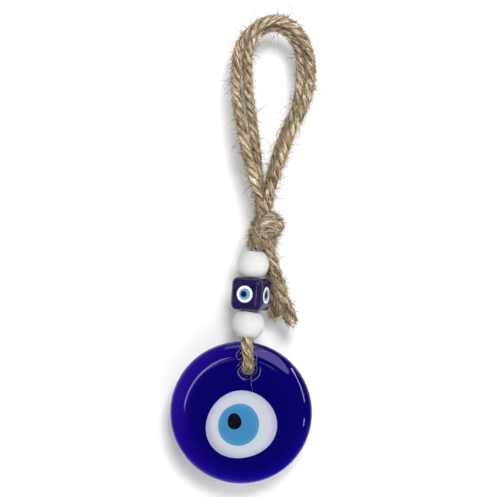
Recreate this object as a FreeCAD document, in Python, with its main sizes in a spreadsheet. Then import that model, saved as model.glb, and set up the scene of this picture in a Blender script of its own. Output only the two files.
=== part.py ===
"""Evil eye ornament: a blue glass eye disc hung by a jute cord, with three beads, a knot and a hanging loop.

Millimetres.  +Z is up and -Y is the front, the side that the eye looks out of.  The origin is the hang
point, inside the top of the loop.  The beads and the disc hang plumb below it.
"""
import FreeCAD, Part
import math
import os
import Sketcher

Vector = FreeCAD.Vector
Rotation = FreeCAD.Rotation
Placement = FreeCAD.Placement

doc = FreeCAD.newDocument("evil_eye_ornament")

# ---------------------------------------------------------------- driving dimensions

SIZES = [
    ("cord_diameter", 4.0, "jute cord, free"),
    ("squeezed_cord_diameter", 3.0, "the same cord, squeezed inside the beads and round the glass"),
    ("string_x", 0.5, "the line that the beads hang on"),
    ("run_spacing", 3.1, "between the two cord runs inside the beads"),
    ("bead_diameter", 13.6, "round wooden beads, across"),
    ("bead_height", 10.9, "round wooden beads, along the bore"),
    ("bead_bore_diameter", 6.4, "bore of all three beads"),
    ("bead_mouth_radius", 0.6, "rounding where the bore opens"),
    ("bead_gap", 0.3, "between neighbours on the string"),
    ("cube_side", 13.9, "glass cube bead"),
    ("cube_edge_radius", 2.7, "its rounded edges"),
    ("cube_turn", 22.0, "degrees that the cube is turned about the string at rest"),
    ("cube_eye_diameter", 7.0, "white of the small eyes"),
    ("cube_iris_diameter", 4.9, "iris of the small eyes"),
    ("cube_pupil_diameter", 2.7, "pupil of the small eyes"),
    ("cube_pupil_shift", 0.4, "how far the pupil stands left of the small eye's middle"),
    ("cube_eye_depth", 0.6, "how deep the small eyes' white sits in the cube"),
    ("cube_eye_step", 0.05, "how far each layer of a small eye stands above the one round it"),
    ("disc_diameter", 60.0, "glass disc"),
    ("disc_thickness", 7.3, "glass disc"),
    ("rim_radius", 2.5, "rounding of the disc's outermost edge"),
    ("shoulder_radius", 12.0, "broad rounding between the rim and the faces"),
    ("hole_diameter", 5.4, "the disc's hanging hole"),
    ("hole_lip_radius", 2.8, "rounded lip on both sides of the hole"),
    ("eye_white_radius", 14.54, "mean radius of the white glass"),
    ("eye_iris_radius", 8.70, "mean radius of the light blue glass"),
    ("eye_pupil_radius", 3.15, "mean radius of the black glass"),
    ("eye_depth", 1.5, "how deep the white glass is let into the disc"),
    ("eye_step", 0.12, "how far each glass layer stands above the one round it"),
    ("glass_clearance", 0.25, "between the cord and the glass it goes round"),
]

sheet = doc.addObject("Spreadsheet::Sheet", "Sizes")
for row, (alias, value, note) in enumerate(SIZES, start=1):
    sheet.set("A%d" % row, alias.replace("_", " "))
    sheet.set("B%d" % row, str(value))
    sheet.setAlias("B%d" % row, alias)
    sheet.set("C%d" % row, note)
doc.recompute()


def size(alias):
    return float(sheet.get(alias))


# ---------------------------------------------------------------- places

STRING_TOP = -94.2          # top face of the upper bead
KNOT_BOTTOM = -93.9         # lowest point of the knot
DISC_CENTRE = Vector(0.1, 0, -162.6)
HOLE_CENTRE = Vector(1.6, 0, -143.7)
EYE_WHITE_CENTRE = (0.5, -167.2)      # X and Z of each glass layer's middle
EYE_IRIS_CENTRE = (-0.5, -167.3)
EYE_PUPIL_CENTRE = (-2.4, -166.0)
IRIS_DEPTH_SHARE = 0.6      # how deep the light blue and the black sit, as shares of the white's depth
PUPIL_DEPTH_SHARE = 0.3

bead_height = size("bead_height")
bead_gap = size("bead_gap")
UPPER_BEAD_Z = STRING_TOP - bead_height / 2
CUBE_Z = UPPER_BEAD_Z - bead_height / 2 - bead_gap - size("cube_side") / 2
LOWER_BEAD_Z = CUBE_Z - size("cube_side") / 2 - bead_gap - bead_height / 2
STRING_BOTTOM = LOWER_BEAD_Z - bead_height / 2

node_names = []


def node(thing, label):
    """Name a finished sub-part; the label is also its file's name."""
    thing.Label = label
    node_names.append(label)
    return thing


# ---------------------------------------------------------------- helpers

def origin_plane(body, role):
    for feature in body.Origin.OriginFeatures:
        if feature.Role == role:
            return feature
    raise ValueError(role)


def sketch_on(body, role, name):
    sketch = body.newObject("Sketcher::SketchObject", name)
    sketch.AttachmentSupport = [(origin_plane(body, role), "")]
    sketch.MapMode = "FlatFace"
    return sketch


def constrain(sketch, kind, *values, bound_to=None):
    """Add one constraint; bound_to is the expression that drives a dimension."""
    number = sketch.addConstraint(Sketcher.Constraint(kind, *values))
    if bound_to is not None:
        sketch.setExpression("Constraints[%d]" % number, bound_to)
    return number


def arc(centre_x, centre_y, radius, start_degrees, end_degrees):
    circle = Part.Circle(Vector(centre_x, centre_y, 0), Vector(0, 0, 1), radius)
    return Part.ArcOfCircle(circle, math.radians(start_degrees), math.radians(end_degrees))


def line(x1, y1, x2, y2):
    return Part.LineSegment(Vector(x1, y1, 0), Vector(x2, y2, 0))


def primitive(kind, name, placement, **expressions):
    """A Part primitive whose sizes follow the sheet."""
    thing = doc.addObject(kind, name)
    for prop, expression in expressions.items():
        thing.setExpression(prop, expression)
    thing.Placement = placement
    return thing


def cut(name, base, tool):
    thing = doc.addObject("Part::Cut", name)
    thing.Base = base
    thing.Tool = tool
    return thing


START, END, CENTRE = 1, 2, 3      # the ends and the middle of a sketch curve
ORIGIN, X_AXIS, Y_AXIS = -1, -1, -2


# ---------------------------------------------------------------- wooden beads

def wooden_bead(label, centre_z):
    """A drilled ball with its ends turned off: soft mouths, soft shoulders and a round belly."""
    bore = size("bead_bore_diameter") / 2
    mouth = size("bead_mouth_radius")
    belly = size("bead_diameter") / 2
    half = bead_height / 2
    face = bore + mouth
    # The shoulder arc starts where the mouth ends and runs smoothly into the ball.
    shoulder = (belly ** 2 - half ** 2 - face ** 2) / (2 * (belly - half))
    drop = half - shoulder
    tangent = math.degrees(math.atan2(drop, face))

    body = doc.addObject("PartDesign::Body", label + "_body")
    sketch = sketch_on(body, "XZ_Plane", label + "_profile")
    sketch.addGeometry([
        line(bore, mouth - half, bore, half - mouth),
        arc(face, half - mouth, mouth, 90, 180),
        arc(face, drop, shoulder, tangent, 90),
        arc(0, 0, belly, -tangent, tangent),
        arc(face, -drop, shoulder, 270, 360 - tangent),
        arc(face, mouth - half, mouth, 180, 270),
    ], False)
    joins = [(0, END, 1, END), (1, START, 2, END), (2, START, 3, END),
             (3, START, 4, END), (4, START, 5, END), (5, START, 0, START)]
    for join in joins:
        constrain(sketch, "Tangent", *join)
    constrain(sketch, "Vertical", 0)
    constrain(sketch, "Coincident", 3, CENTRE, ORIGIN, START)
    constrain(sketch, "Radius", 3, belly, bound_to="Sizes.bead_diameter / 2")
    constrain(sketch, "Equal", 1, 5)
    constrain(sketch, "Equal", 2, 4)
    constrain(sketch, "DistanceX", ORIGIN, START, 0, START, bore, bound_to="Sizes.bead_bore_diameter / 2")
    constrain(sketch, "DistanceY", 1, CENTRE, 1, START, mouth, bound_to="Sizes.bead_mouth_radius")
    constrain(sketch, "DistanceY", ORIGIN, START, 2, END, half, bound_to="Sizes.bead_height / 2")
    revolution = body.newObject("PartDesign::Revolution", label + "_turned")
    revolution.Profile = sketch
    revolution.ReferenceAxis = (sketch, ["V_Axis"])
    revolution.Angle = 360
    body.Placement = Placement(Vector(size("string_x"), 0, centre_z), Rotation())
    doc.recompute()
    return node(body, label)


wooden_bead("upper_white_bead", UPPER_BEAD_Z)
wooden_bead("lower_white_bead", LOWER_BEAD_Z)

# ---------------------------------------------------------------- cube bead

cube_placement = Placement(Vector(size("string_x"), 0, CUBE_Z),
                           Rotation(Vector(0, 0, 1), -size("cube_turn")))


def cube_side_placement(side, distance):
    """A local Z that points out of one side face, at a distance from the cube's middle."""
    turn = Rotation(Vector(0, 0, 1), 90 * side)
    outward = Rotation(Vector(1, 0, 0), 90)
    face = Placement(turn.multVec(Vector(0, -distance, 0)), turn * outward)
    return cube_placement * face


def rounded_cube():
    """A cube with every edge rounded and a bore along Z."""
    side = size("cube_side")
    body = doc.addObject("PartDesign::Body", "cube_blank")
    sketch = sketch_on(body, "XY_Plane", "cube_outline")
    half = side / 2
    sketch.addGeometry([
        line(-half, -half, half, -half),
        line(half, -half, half, half),
        line(half, half, -half, half),
        line(-half, half, -half, -half),
    ], False)
    for corner in range(4):
        constrain(sketch, "Coincident", corner, END, (corner + 1) % 4, START)
    for horizontal in (0, 2):
        constrain(sketch, "Horizontal", horizontal)
    for vertical in (1, 3):
        constrain(sketch, "Vertical", vertical)
    constrain(sketch, "Symmetric", 0, START, 2, START, ORIGIN, START)
    constrain(sketch, "DistanceX", 0, START, 0, END, side, bound_to="Sizes.cube_side")
    constrain(sketch, "DistanceY", 1, START, 1, END, side, bound_to="Sizes.cube_side")
    pad = body.newObject("PartDesign::Pad", "cube_pad")
    pad.Profile = sketch
    pad.setExpression("Length", "Sizes.cube_side")
    pad.Midplane = True
    doc.recompute()
    rounded = body.newObject("PartDesign::Fillet", "cube_rounding")
    rounded.Base = (pad, ["Edge%d" % (n + 1) for n in range(len(pad.Shape.Edges))])
    rounded.setExpression("Radius", "Sizes.cube_edge_radius")
    doc.recompute()
    bore_sketch = sketch_on(body, "XY_Plane", "cube_bore_outline")
    bore_radius = size("bead_bore_diameter") / 2
    bore_sketch.addGeometry([Part.Circle(Vector(0, 0, 0), Vector(0, 0, 1), bore_radius)], False)
    constrain(bore_sketch, "Coincident", 0, CENTRE, ORIGIN, START)
    constrain(bore_sketch, "Diameter", 0, 2 * bore_radius, bound_to="Sizes.bead_bore_diameter")
    before = rounded.Shape.Volume
    bore = body.newObject("PartDesign::Pocket", "cube_bore")
    bore.Profile = bore_sketch
    bore.Type = "ThroughAll"
    bore.Midplane = True
    doc.recompute()
    expected = math.pi * bore_radius ** 2 * side
    print("cube bore removed %.1f of %.1f mm3" % (before - bore.Shape.Volume, expected))
    body.Placement = cube_placement
    return body


def small_eye_parts(side):
    """One side's eye: three glass layers, each let into the one below."""
    face = size("cube_side") / 2
    depth = size("cube_eye_depth")
    number = side + 1
    pupil_shift = size("cube_pupil_shift")
    layers = [("white", "cube_eye", 0), ("iris", "cube_iris", 0), ("pupil", "cube_pupil", pupil_shift)]
    solids = []
    for layer, (name, alias, shift) in enumerate(layers):
        thirds = 3 - layer
        bottom = cube_side_placement(side, face - depth * thirds / 3)
        solids.append(primitive(
            "Part::Cylinder", "small_%s_blank_%d" % (name, number),
            bottom * Placement(Vector(-shift, 0, 0), Rotation()),
            Radius="Sizes.%s_diameter / 2" % alias,
            Height="Sizes.cube_eye_depth * %d / 3 + Sizes.cube_eye_step * %d" % (thirds, layer + 1)))
    white_blank, iris_blank, pupil_blank = solids
    white = cut("small_white_%d" % number, white_blank, iris_blank)
    iris = cut("small_iris_%d" % number, iris_blank, pupil_blank)
    node(white, "cube_eye_white_%d" % number)
    node(iris, "cube_eye_iris_%d" % number)
    node(pupil_blank, "cube_eye_pupil_%d" % number)
    return white_blank


cube_blank = rounded_cube()
small_eye_blanks = [small_eye_parts(side) for side in range(4)]
small_eye_tool = doc.addObject("Part::MultiFuse", "small_eye_recesses")
small_eye_tool.Shapes = small_eye_blanks
node(cut("cube_with_recesses", cube_blank, small_eye_tool), "cube_bead_body")

# ---------------------------------------------------------------- glass disc

def disc_blank():
    """The poured disc: two flat faces, broad shoulders, a rounded rim, and the hole with its soft lip."""
    radius = size("disc_diameter") / 2
    half = size("disc_thickness") / 2
    rim = size("rim_radius")
    shoulder = size("shoulder_radius")
    rim_centre = radius - rim
    rise = shoulder - half
    shoulder_centre = rim_centre - math.sqrt((shoulder - rim) ** 2 - rise ** 2)
    tangent = math.degrees(math.atan2(rise, rim_centre - shoulder_centre))

    body = doc.addObject("PartDesign::Body", "disc_blank")
    sketch = sketch_on(body, "XY_Plane", "disc_profile")
    sketch.addGeometry([
        line(0, -half, shoulder_centre, -half),
        arc(shoulder_centre, rise, shoulder, 270, 360 - tangent),
        arc(rim_centre, 0, rim, -tangent, tangent),
        arc(shoulder_centre, -rise, shoulder, tangent, 90),
        line(shoulder_centre, half, 0, half),
        line(0, half, 0, -half),
    ], False)
    for join in [(0, END, 1, START), (1, END, 2, START), (2, END, 3, START), (3, END, 4, START)]:
        constrain(sketch, "Tangent", *join)
    constrain(sketch, "Coincident", 4, END, 5, START)
    constrain(sketch, "Coincident", 5, END, 0, START)
    constrain(sketch, "Horizontal", 0)
    constrain(sketch, "Vertical", 5)
    constrain(sketch, "PointOnObject", 0, START, Y_AXIS)
    constrain(sketch, "PointOnObject", 2, CENTRE, X_AXIS)
    constrain(sketch, "Equal", 1, 3)
    constrain(sketch, "Radius", 2, rim, bound_to="Sizes.rim_radius")
    constrain(sketch, "Radius", 1, shoulder, bound_to="Sizes.shoulder_radius")
    constrain(sketch, "DistanceX", ORIGIN, START, 2, CENTRE, rim_centre,
              bound_to="Sizes.disc_diameter / 2 - Sizes.rim_radius")
    constrain(sketch, "DistanceY", 0, START, ORIGIN, START, half, bound_to="Sizes.disc_thickness / 2")
    constrain(sketch, "DistanceY", ORIGIN, START, 4, END, half, bound_to="Sizes.disc_thickness / 2")
    revolution = body.newObject("PartDesign::Revolution", "disc_turned")
    revolution.Profile = sketch
    revolution.ReferenceAxis = (sketch, ["V_Axis"])
    revolution.Angle = 360
    doc.recompute()

    hole_at = HOLE_CENTRE - DISC_CENTRE
    hole_sketch = sketch_on(body, "XZ_Plane", "hole_outline")
    hole_radius = size("hole_diameter") / 2
    hole_circle = Part.Circle(Vector(hole_at.x, hole_at.z, 0), Vector(0, 0, 1), hole_radius)
    hole_sketch.addGeometry([hole_circle], False)
    constrain(hole_sketch, "DistanceX", ORIGIN, START, 0, CENTRE, hole_at.x)
    constrain(hole_sketch, "DistanceY", ORIGIN, START, 0, CENTRE, hole_at.z)
    constrain(hole_sketch, "Diameter", 0, 2 * hole_radius, bound_to="Sizes.hole_diameter")
    before = revolution.Shape.Volume
    hole = body.newObject("PartDesign::Pocket", "hanging_hole")
    hole.Profile = hole_sketch
    hole.Type = "ThroughAll"
    hole.Midplane = True
    doc.recompute()
    expected = math.pi * hole_radius ** 2 * size("disc_thickness")
    print("hanging hole removed %.1f of %.1f mm3" % (before - hole.Shape.Volume, expected))
    lips = []
    for number, edge in enumerate(hole.Shape.Edges, start=1):
        curve = edge.Curve
        if isinstance(curve, Part.Circle) and abs(curve.Radius - hole_radius) < 1e-4:
            lips.append("Edge%d" % number)
    lip = body.newObject("PartDesign::Fillet", "hole_lip")
    lip.Base = (hole, lips)
    lip.setExpression("Radius", "Sizes.hole_lip_radius")
    body.Placement = Placement(DISC_CENTRE, Rotation())
    doc.recompute()
    return body


def poured_outline(centre, radius, oval, oval_degrees, egg, egg_degrees):
    """A closed curve like a poured drop: a circle made a little oval and a little egg-shaped.

    It is drawn about the disc's centre, on the disc's middle plane.
    """
    points = []
    middle_x = centre[0] - DISC_CENTRE.x
    middle_z = centre[1] - DISC_CENTRE.z
    steps = 24
    for step in range(steps):
        angle = 2 * math.pi * step / steps
        swell = 1 + oval * math.cos(2 * (angle - math.radians(oval_degrees)))
        swell += egg * math.cos(3 * (angle - math.radians(egg_degrees)))
        points.append(Vector(middle_x + radius * swell * math.cos(angle), 0,
                             middle_z + radius * swell * math.sin(angle)))
    curve = Part.BSplineCurve()
    curve.interpolate(points, PeriodicFlag=True)
    return Part.Wire([curve.toShape()])


def glass_layer(name, outline, back, front):
    """A drop of glass with the outline's shape, from one depth (Y) to another, in the disc's own frame."""
    thing = doc.addObject("Part::Feature", name)
    thing.Shape = Part.Face(outline).extrude(Vector(0, front - back, 0))
    thing.Placement = Placement(DISC_CENTRE + Vector(0, back, 0), Rotation())
    return thing


def eye_parts():
    """White, light blue and black glass, each let into the one below and a hair proud of it."""
    face = -size("disc_thickness") / 2
    step = size("eye_step")
    depth = size("eye_depth")
    white_outline = poured_outline(EYE_WHITE_CENTRE, size("eye_white_radius"), 0.035, 25, 0.020, -15)
    iris_outline = poured_outline(EYE_IRIS_CENTRE, size("eye_iris_radius"), 0.028, 63, 0.010, -40)
    pupil_outline = poured_outline(EYE_PUPIL_CENTRE, size("eye_pupil_radius"), 0.080, 100, 0.030, -15)
    white_blank = glass_layer("white_blank", white_outline, face + depth, face - step)
    iris_back = face + depth * IRIS_DEPTH_SHARE
    iris_blank = glass_layer("iris_blank", iris_outline, iris_back, face - 2 * step)
    pupil_back = face + depth * PUPIL_DEPTH_SHARE
    pupil_blank = glass_layer("pupil_blank", pupil_outline, pupil_back, face - 3 * step)
    node(cut("white_layer", white_blank, iris_blank), "eye_white")
    node(cut("iris_layer", iris_blank, pupil_blank), "eye_iris")
    node(pupil_blank, "eye_pupil")
    return white_blank


disc_body = disc_blank()
node(cut("disc_with_recess", disc_body, eye_parts()), "glass_disc")

# ---------------------------------------------------------------- cord

def cord_path(points, bend_radii=None):
    """Straight runs joined by tangent arcs, each arc as large as its two runs allow.

    bend_radii gives a bend its own radius, by the point's index, where the cord goes round the glass.
    """
    bend_radii = bend_radii or {}
    edges = []
    radii = []
    start = points[0]
    for index in range(1, len(points) - 1):
        corner = points[index]
        back = points[index - 1] - corner
        ahead = points[index + 1] - corner
        shorter = min(back.Length, ahead.Length)
        back.normalize()
        ahead.normalize()
        turn = math.pi - back.getAngle(ahead)
        radius = bend_radii.get(index, 0.45 * shorter / math.tan(turn / 2))
        reach = radius * math.tan(turn / 2)
        first = corner + back * reach
        last = corner + ahead * reach
        bisector = (back + ahead).normalize()
        middle = corner + bisector * (radius / math.cos(turn / 2) - radius)
        edges.append(Part.LineSegment(start, first).toShape())
        edges.append(Part.Arc(first, middle, last).toShape())
        radii.append(radius)
        start = last
    edges.append(Part.LineSegment(start, points[-1]).toShape())
    return Part.Wire(edges), radii


def cord_tube(label, route, diameter, bend_radii=None):
    """A plain round tube along a cord's route, drawn and placed from the route's first point."""
    start = Vector(*route[0])
    points = [Vector(*point) - start for point in route]
    path, radii = cord_path(points, bend_radii)
    section = Part.Wire([Part.Circle(points[0], points[1], diameter / 2).toShape()])
    tube = path.makePipeShell([section], True, False)
    expected = math.pi * diameter ** 2 / 4 * path.Length
    print("%s: length %.1f mm, volume %.3f of section x length, bends %s mm" % (
        label, path.Length, tube.Volume / expected, ", ".join("%.1f" % radius for radius in radii) or "none"))
    thing = doc.addObject("Part::Feature", label + "_tube")
    thing.Shape = tube
    thing.Placement = Placement(start, Rotation())
    return node(thing, label)


LOOP_OUTER_ROUTE = [
    (2.0, -2.2, -82.0), (0.2, -2.1, -73.5), (-3.2, -2.0, -62.5), (-7.3, -1.7, -49.0),
    (-11.2, -1.2, -34.5), (-13.8, -0.8, -20.0), (-13.4, -0.9, -8.5), (-7.7, -1.6, 0.6),
    (-1.0, -2.1, 4.8), (6.4, -2.1, 5.0), (12.9, -1.7, 0.9), (18.0, -1.0, -8.4),
    (19.7, -0.8, -19.5), (18.7, -1.0, -31.5), (15.1, -1.6, -43.0), (10.8, -2.0, -54.5),
    (7.6, -2.1, -65.5), (6.0, -2.2, -74.5), (5.7, -2.2, -81.5),
]
LOOP_INNER_ROUTE = [
    (1.6, 2.1, -82.0), (0.4, 2.2, -73.5), (-1.7, 2.1, -62.5), (-4.5, 1.8, -48.5),
    (-7.3, 1.3, -34.0), (-8.8, 0.9, -20.0), (-8.5, 1.0, -9.0), (-5.0, 1.7, -1.6),
    (0.0, 2.1, 2.0), (5.2, 2.1, 2.1), (10.3, 1.7, -1.8), (13.9, 1.1, -9.8),
    (15.2, 0.8, -20.5), (14.5, 1.0, -32.0), (11.4, 1.6, -43.0), (7.8, 2.0, -54.5),
    (5.8, 2.2, -65.5), (5.0, 2.2, -74.5), (5.4, 2.1, -81.5),
]
TAIL_RIGHT_ROUTE = [
    (6.4, -0.7, -89.5), (9.0, 0.6, -94.8), (10.9, 1.1, -101.0), (12.9, 1.2, -107.6),
    (15.3, 0.9, -114.0), (17.9, 0.6, -119.8), (19.7, 0.5, -125.0),
]
TAIL_LEFT_ROUTE = [
    (5.0, 3.6, -89.7), (7.4, 6.2, -95.3), (9.3, 7.6, -102.0), (10.6, 8.4, -109.0),
    (11.5, 8.6, -116.0), (12.2, 8.3, -122.4),
]

cord = size("cord_diameter")
squeezed = size("squeezed_cord_diameter")
cord_tube("loop_cord_outer", LOOP_OUTER_ROUTE, cord)
cord_tube("loop_cord_inner", LOOP_INNER_ROUTE, cord)
cord_tube("tail_cord_right", TAIL_RIGHT_ROUTE, cord)
cord_tube("tail_cord_left", TAIL_LEFT_ROUTE, cord)

# The two runs stand front and back in the beads' bores and end where the bores start to open.
string_x = size("string_x")
run_y = size("run_spacing") / 2
RUN_END_RISE = 1.7            # how far above the lower bead's end face the straight runs end
RUN_BOTTOM = STRING_BOTTOM + RUN_END_RISE
for label, side in (("bead_run_front", -1), ("bead_run_back", 1)):
    run_route = [(string_x, side * run_y, STRING_TOP), (string_x, side * run_y, RUN_BOTTOM)]
    cord_tube(label, run_route, squeezed)

# The bight leaves the beads, spreads over the disc's rim and goes through the hole.
glass_reach = squeezed / 2 + size("glass_clearance")
LEG_Y = size("disc_thickness") / 2 + glass_reach
BIGHT_Z = HOLE_CENTRE.z + size("hole_diameter") / 2 - glass_reach
BIGHT_X = HOLE_CENTRE.x
HOLE_BEND = size("hole_lip_radius") + glass_reach
MOUTH_DROP = 0.55            # the legs turn outwards just below the lower bead
SHOULDER_DROP = 3.6           # and turn down again beside the disc's shoulder
SHOULDER_X = 1.3
SHOULDER_SPREAD = 0.45        # further out there than at the hole


def bight_leg(side):
    return [(string_x, side * run_y, RUN_BOTTOM),
            (string_x, side * run_y, STRING_BOTTOM - MOUTH_DROP),
            (SHOULDER_X, side * (LEG_Y + SHOULDER_SPREAD), STRING_BOTTOM - SHOULDER_DROP),
            (BIGHT_X, side * LEG_Y, BIGHT_Z)]


BIGHT_ROUTE = bight_leg(-1) + bight_leg(1)[::-1]
cord_tube("disc_bight_cord", BIGHT_ROUTE, squeezed, {3: HOLE_BEND, 4: HOLE_BEND})

# ---------------------------------------------------------------- knot

LOWER_LOBE_RADII = (5.9, 6.0, 6.3)
LOWER_LOBE_CENTRE = (3.2, 0, KNOT_BOTTOM + LOWER_LOBE_RADII[2])
UPPER_LOBE_RADII = (5.8, 5.9, 5.8)
UPPER_LOBE_CENTRE = (6.8, 0, -83.2)


def overhand_knot():
    """The knot's outer shape: an upper lobe on the right and a lower one on the left, grown together."""
    lobes = []
    for name, centre, radii in (("upper", UPPER_LOBE_CENTRE, UPPER_LOBE_RADII),
                                ("lower", LOWER_LOBE_CENTRE, LOWER_LOBE_RADII)):
        lobe = doc.addObject("Part::Ellipsoid", "knot_lobe_" + name)
        lobe.Radius2, lobe.Radius3, lobe.Radius1 = radii
        lobe.Angle1, lobe.Angle2, lobe.Angle3 = -90, 90, 360
        lobe.Placement = Placement(Vector(*centre), Rotation())
        lobes.append(lobe)
    knot = doc.addObject("Part::MultiFuse", "knot_lobes")
    knot.Shapes = lobes
    return node(knot, "overhand_knot")


overhand_knot()

# ---------------------------------------------------------------- check and write

doc.recompute()
for thing in doc.Objects:
    if "Invalid" in thing.State or "Error" in thing.State:
        raise RuntimeError("%s failed: %s" % (thing.Name, thing.State))

os.makedirs("parts", exist_ok=True)
for label in node_names:
    thing = doc.getObjectsByLabel(label)[0]
    shape = thing.Shape
    if shape.isNull() or not shape.isValid() or len(shape.Solids) != 1:
        raise RuntimeError("%s has no valid single solid" % label)
    shape.exportStep("parts/%s.step" % label)
print("%d nodes written" % len(node_names))
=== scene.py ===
"""The looks of the evil eye ornament: jute twine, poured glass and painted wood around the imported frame.

Everything is in metres and in the frame's own axes: +Z up, -Y the front, the hang point at the origin.
"""
import math
from collections import namedtuple

import bpy
import numpy as np
from mathutils import Matrix, Vector


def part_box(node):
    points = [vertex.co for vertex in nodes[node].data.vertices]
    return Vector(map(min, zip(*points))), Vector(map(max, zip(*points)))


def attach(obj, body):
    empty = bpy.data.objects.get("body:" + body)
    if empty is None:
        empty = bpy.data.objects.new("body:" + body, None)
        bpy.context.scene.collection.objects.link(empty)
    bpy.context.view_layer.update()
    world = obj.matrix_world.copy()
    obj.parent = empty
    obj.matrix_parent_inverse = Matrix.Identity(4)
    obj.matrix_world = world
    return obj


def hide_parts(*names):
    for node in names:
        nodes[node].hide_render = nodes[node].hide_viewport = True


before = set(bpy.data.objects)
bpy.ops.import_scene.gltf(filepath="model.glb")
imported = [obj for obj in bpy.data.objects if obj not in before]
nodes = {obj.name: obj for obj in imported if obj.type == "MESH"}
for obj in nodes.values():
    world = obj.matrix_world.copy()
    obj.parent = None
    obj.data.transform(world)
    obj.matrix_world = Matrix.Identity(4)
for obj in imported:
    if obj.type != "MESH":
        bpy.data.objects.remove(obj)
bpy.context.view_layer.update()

MM = 0.001


# ---------------------------------------------------------------- camera

PICTURE_WIDTH = 211.25 * MM   # width of the view at the object
LENS = 85.0                   # focal length, in millimetres as the sensor's width is
SENSOR = 36.0
LEAN = math.radians(4.26)     # the camera rolls, so that the ornament's top leans to the right
AIM = Vector((-1.3, 0.0, -93.2)) * MM


def make_camera():
    """A camera straight in front of the ornament, rolled by the lean."""
    data = bpy.data.cameras.new("camera")
    data.lens = LENS
    data.sensor_width = SENSOR
    camera = bpy.data.objects.new("camera", data)
    bpy.context.scene.collection.objects.link(camera)
    distance = PICTURE_WIDTH * LENS / SENSOR
    right = Vector((math.cos(LEAN), 0, math.sin(LEAN)))
    up = Vector((-math.sin(LEAN), 0, math.cos(LEAN)))
    back = Vector((0, -1, 0))
    turn = Matrix((right, up, back)).transposed()
    camera.matrix_world = Matrix.Translation(AIM + back * distance) @ turn.to_4x4()
    bpy.context.scene.camera = camera


make_camera()


# ---------------------------------------------------------------- materials

def srgb(red, green, blue):
    """A colour as a person reads it, 0 to 255, made linear."""
    def linear(value):
        value = value / 255
        return value / 12.92 if value <= 0.04045 else ((value + 0.055) / 1.055) ** 2.4
    return (linear(red), linear(green), linear(blue), 1.0)


class Shade:
    """A node material with one principled shader, and short ways to add nodes to it."""

    def __init__(self, name, **sockets):
        self.material = bpy.data.materials.new(name)
        self.material.use_nodes = True
        self.tree = self.material.node_tree
        self.tree.nodes.clear()
        output = self.tree.nodes.new("ShaderNodeOutputMaterial")
        self.shader = self.tree.nodes.new("ShaderNodeBsdfPrincipled")
        self.tree.links.new(self.shader.outputs["BSDF"], output.inputs["Surface"])
        for socket, value in sockets.items():
            self.shader.inputs[socket.replace("_", " ")].default_value = value

    def node(self, kind, **properties):
        """A new node of this material."""
        made = self.tree.nodes.new(kind)
        for key, value in properties.items():
            setattr(made, key, value)
        return made

    def link(self, source, target):
        self.tree.links.new(source, target)

    def feed(self, source, socket):
        """Let an output drive one of the principled shader's inputs."""
        self.link(source, self.shader.inputs[socket])

    def place(self):
        """Where on the object the shaded point lies, in metres."""
        return self.node("ShaderNodeTexCoord").outputs["Object"]

    def attribute(self, name, output):
        return self.node("ShaderNodeAttribute", attribute_name=name).outputs[output]

    def noise(self, place, scale, detail=2.0, roughness=0.5):
        made = self.node("ShaderNodeTexNoise")
        made.inputs["Scale"].default_value = scale
        made.inputs["Detail"].default_value = detail
        made.inputs["Roughness"].default_value = roughness
        self.link(place, made.inputs["Vector"])
        return made.outputs["Fac"]

    def ramp(self, value, *stops):
        """A colour that runs through the stops, each a position and a colour."""
        made = self.node("ShaderNodeValToRGB")
        elements = made.color_ramp.elements
        while len(elements) < len(stops):
            elements.new(0.5)
        for element, (position, colour) in zip(elements, stops):
            element.position = position
            element.color = colour
        self.link(value, made.inputs["Fac"])
        return made.outputs["Color"]

    def mix(self, kind, amount, first, second):
        """Two colours blended; amount is a number or an output, 0 for the first."""
        made = self.node("ShaderNodeMix", data_type="RGBA", blend_type=kind)
        for key, value in (("Factor", amount), ("A", first), ("B", second)):
            socket = next(s for s in made.inputs if s.name == key and s.enabled)
            if isinstance(value, bpy.types.NodeSocket):
                self.link(value, socket)
            else:
                socket.default_value = value
        return next(s for s in made.outputs if s.enabled)

    def math(self, operation, first, second):
        """One sum of two values, each a number or an output."""
        made = self.node("ShaderNodeMath", operation=operation)
        for socket, value in zip(made.inputs, (first, second)):
            if isinstance(value, bpy.types.NodeSocket):
                self.link(value, socket)
            else:
                socket.default_value = value
        return made.outputs[0]

    def spread(self, value, low, high):
        """value from low to high, as 0 to 1."""
        made = self.node("ShaderNodeMapRange")
        made.inputs["From Min"].default_value = low
        made.inputs["From Max"].default_value = high
        self.link(value, made.inputs["Value"])
        return made.outputs["Result"]

    def offset_across(self, centre):
        """The place, counted from a point as the front view shows it: the depth is left out."""
        away = self.node("ShaderNodeVectorMath", operation="SUBTRACT")
        away.inputs[1].default_value = centre
        self.link(self.place(), away.inputs[0])
        flat = self.node("ShaderNodeVectorMath", operation="MULTIPLY")
        flat.inputs[1].default_value = (1, 0, 1)
        self.link(away.outputs[0], flat.inputs[0])
        return flat.outputs[0]

    def length(self, vector):
        made = self.node("ShaderNodeVectorMath", operation="LENGTH")
        self.link(vector, made.inputs[0])
        return made.outputs["Value"]

    def bump(self, height, strength, distance):
        made = self.node("ShaderNodeBump")
        made.inputs["Strength"].default_value = strength
        made.inputs["Distance"].default_value = distance
        self.link(height, made.inputs["Height"])
        self.feed(made.outputs["Normal"], "Normal")


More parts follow.
